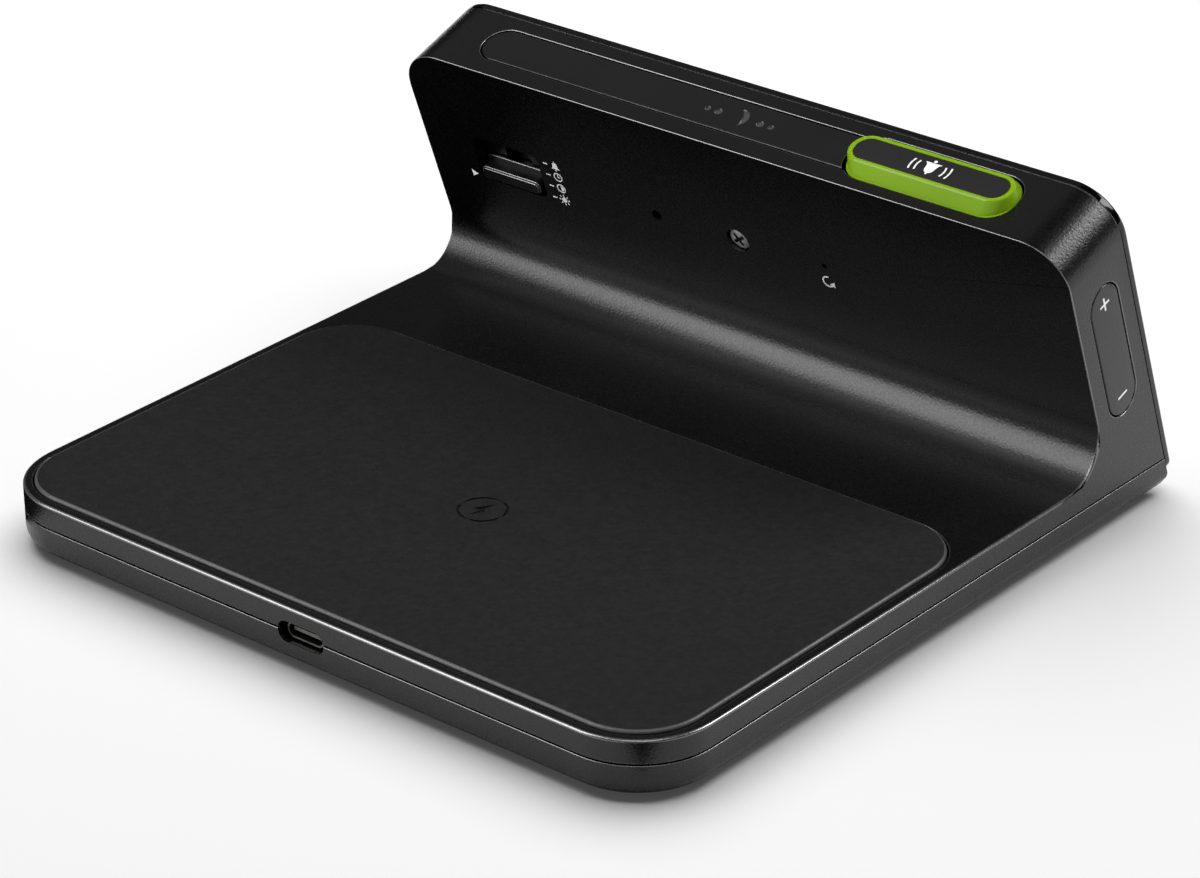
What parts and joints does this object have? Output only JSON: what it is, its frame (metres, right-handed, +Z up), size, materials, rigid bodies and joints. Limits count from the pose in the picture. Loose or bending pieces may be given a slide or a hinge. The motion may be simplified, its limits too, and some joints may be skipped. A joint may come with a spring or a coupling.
{
  "type": "digital alarm clock",
  "caption": "Digital alarm clock: a leaning display block with top keys and a side rocker, on a flat base whose top holds a charging pad for a phone.",
  "frame": {"origin": "middle of the footprint, on the plane that the rubber feet stand on", "axes": "+Z up, the display faces -Y, the charging pad lies towards +Y, the volume rocker is on the -X side"},
  "size_m": [0.16, 0.1567, 0.0695],
  "materials": {
    "housing": "fine satin grain",
    "lens": "glossy, darkly tinted",
    "inner_plastic": "matt black",
    "diffuser": "milky, lit from behind",
    "lamp": "clear yellow phosphor",
    "board": "solder mask",
    "key_plastic": "fine satin grain",
    "green_plastic": "semi-gloss lime green",
    "switch_plastic": "matt",
    "light_plastic": "matt ivory",
    "steel": "bright nickel plate",
    "pad_rubber": "fine-grained soft touch",
    "copper": "enamelled copper winding",
    "ferrite": "dull dark grey",
    "cable": "flat ribbon",
    "foot_rubber": "matt"
  },
  "bodies": {
    "housing": {"upper_shell": "housing", "lower_shell": "housing", "front_lens": "lens", "display_frame": "inner_plastic", "digit_segments": "diffuser", "display_leds": "lamp", "display_board": "board", "key_board": "board", "key_switches": "switch_plastic", "rocker_pin": "steel", "side_board": "board", "side_switches": "switch_plastic", "slide_switch": "steel", "control_board": "board", "reset_switch": "switch_plastic", "buzzer": "inner_plastic", "rear_screw": "steel", "board_screws": "steel", "charging_pad": "pad_rubber", "charging_coil": "copper", "ferrite_sheet": "ferrite", "charging_board": "board", "power_socket": "steel", "link_sockets": "light_plastic", "link_cable": "cable", "case_screws": "steel", "rubber_feet": "foot_rubber"},
    "snooze_key": {"snooze_bar": "key_plastic"},
    "alarm_key": {"alarm_button": "green_plastic", "alarm_inlay": "key_plastic"},
    "rocker_key": {"volume_rocker": "key_plastic"},
    "mode_knob": {"mode_slider": "key_plastic"},
    "reset_key": {"reset_plunger": "light_plastic"}
  },
  "joints": [
    {"name": "snooze_press", "type": "slide", "parent": "housing", "child": "snooze_key", "axis": [0, -0.3381, -0.9411], "range_m": [0, 0.0005], "stiffness_N_per_m": 2000, "springref_m": -0.0004},
    {"name": "alarm_press", "type": "slide", "parent": "housing", "child": "alarm_key", "axis": [0, -0.3381, -0.9411], "range_m": [0, 0.001], "stiffness_N_per_m": 1200, "springref_m": -0.0006},
    {"name": "volume_rock", "type": "hinge", "parent": "housing", "child": "rocker_key", "pos_m": [-0.0764, -0.05589, 0.03782], "axis": [0, 0.9411, -0.3381], "range_deg": [-2, 2], "stiffness_Nm_per_rad": 0.5},
    {"name": "mode_slide", "type": "slide", "parent": "housing", "child": "mode_knob", "axis": [0, 0.3381, 0.9411], "range_m": [0, 0.0075]},
    {"name": "reset_press", "type": "slide", "parent": "housing", "child": "reset_key", "axis": [0, -0.9411, 0.3381], "range_m": [0, 0.00025], "stiffness_N_per_m": 3000, "springref_m": -0.0002}
  ]
}
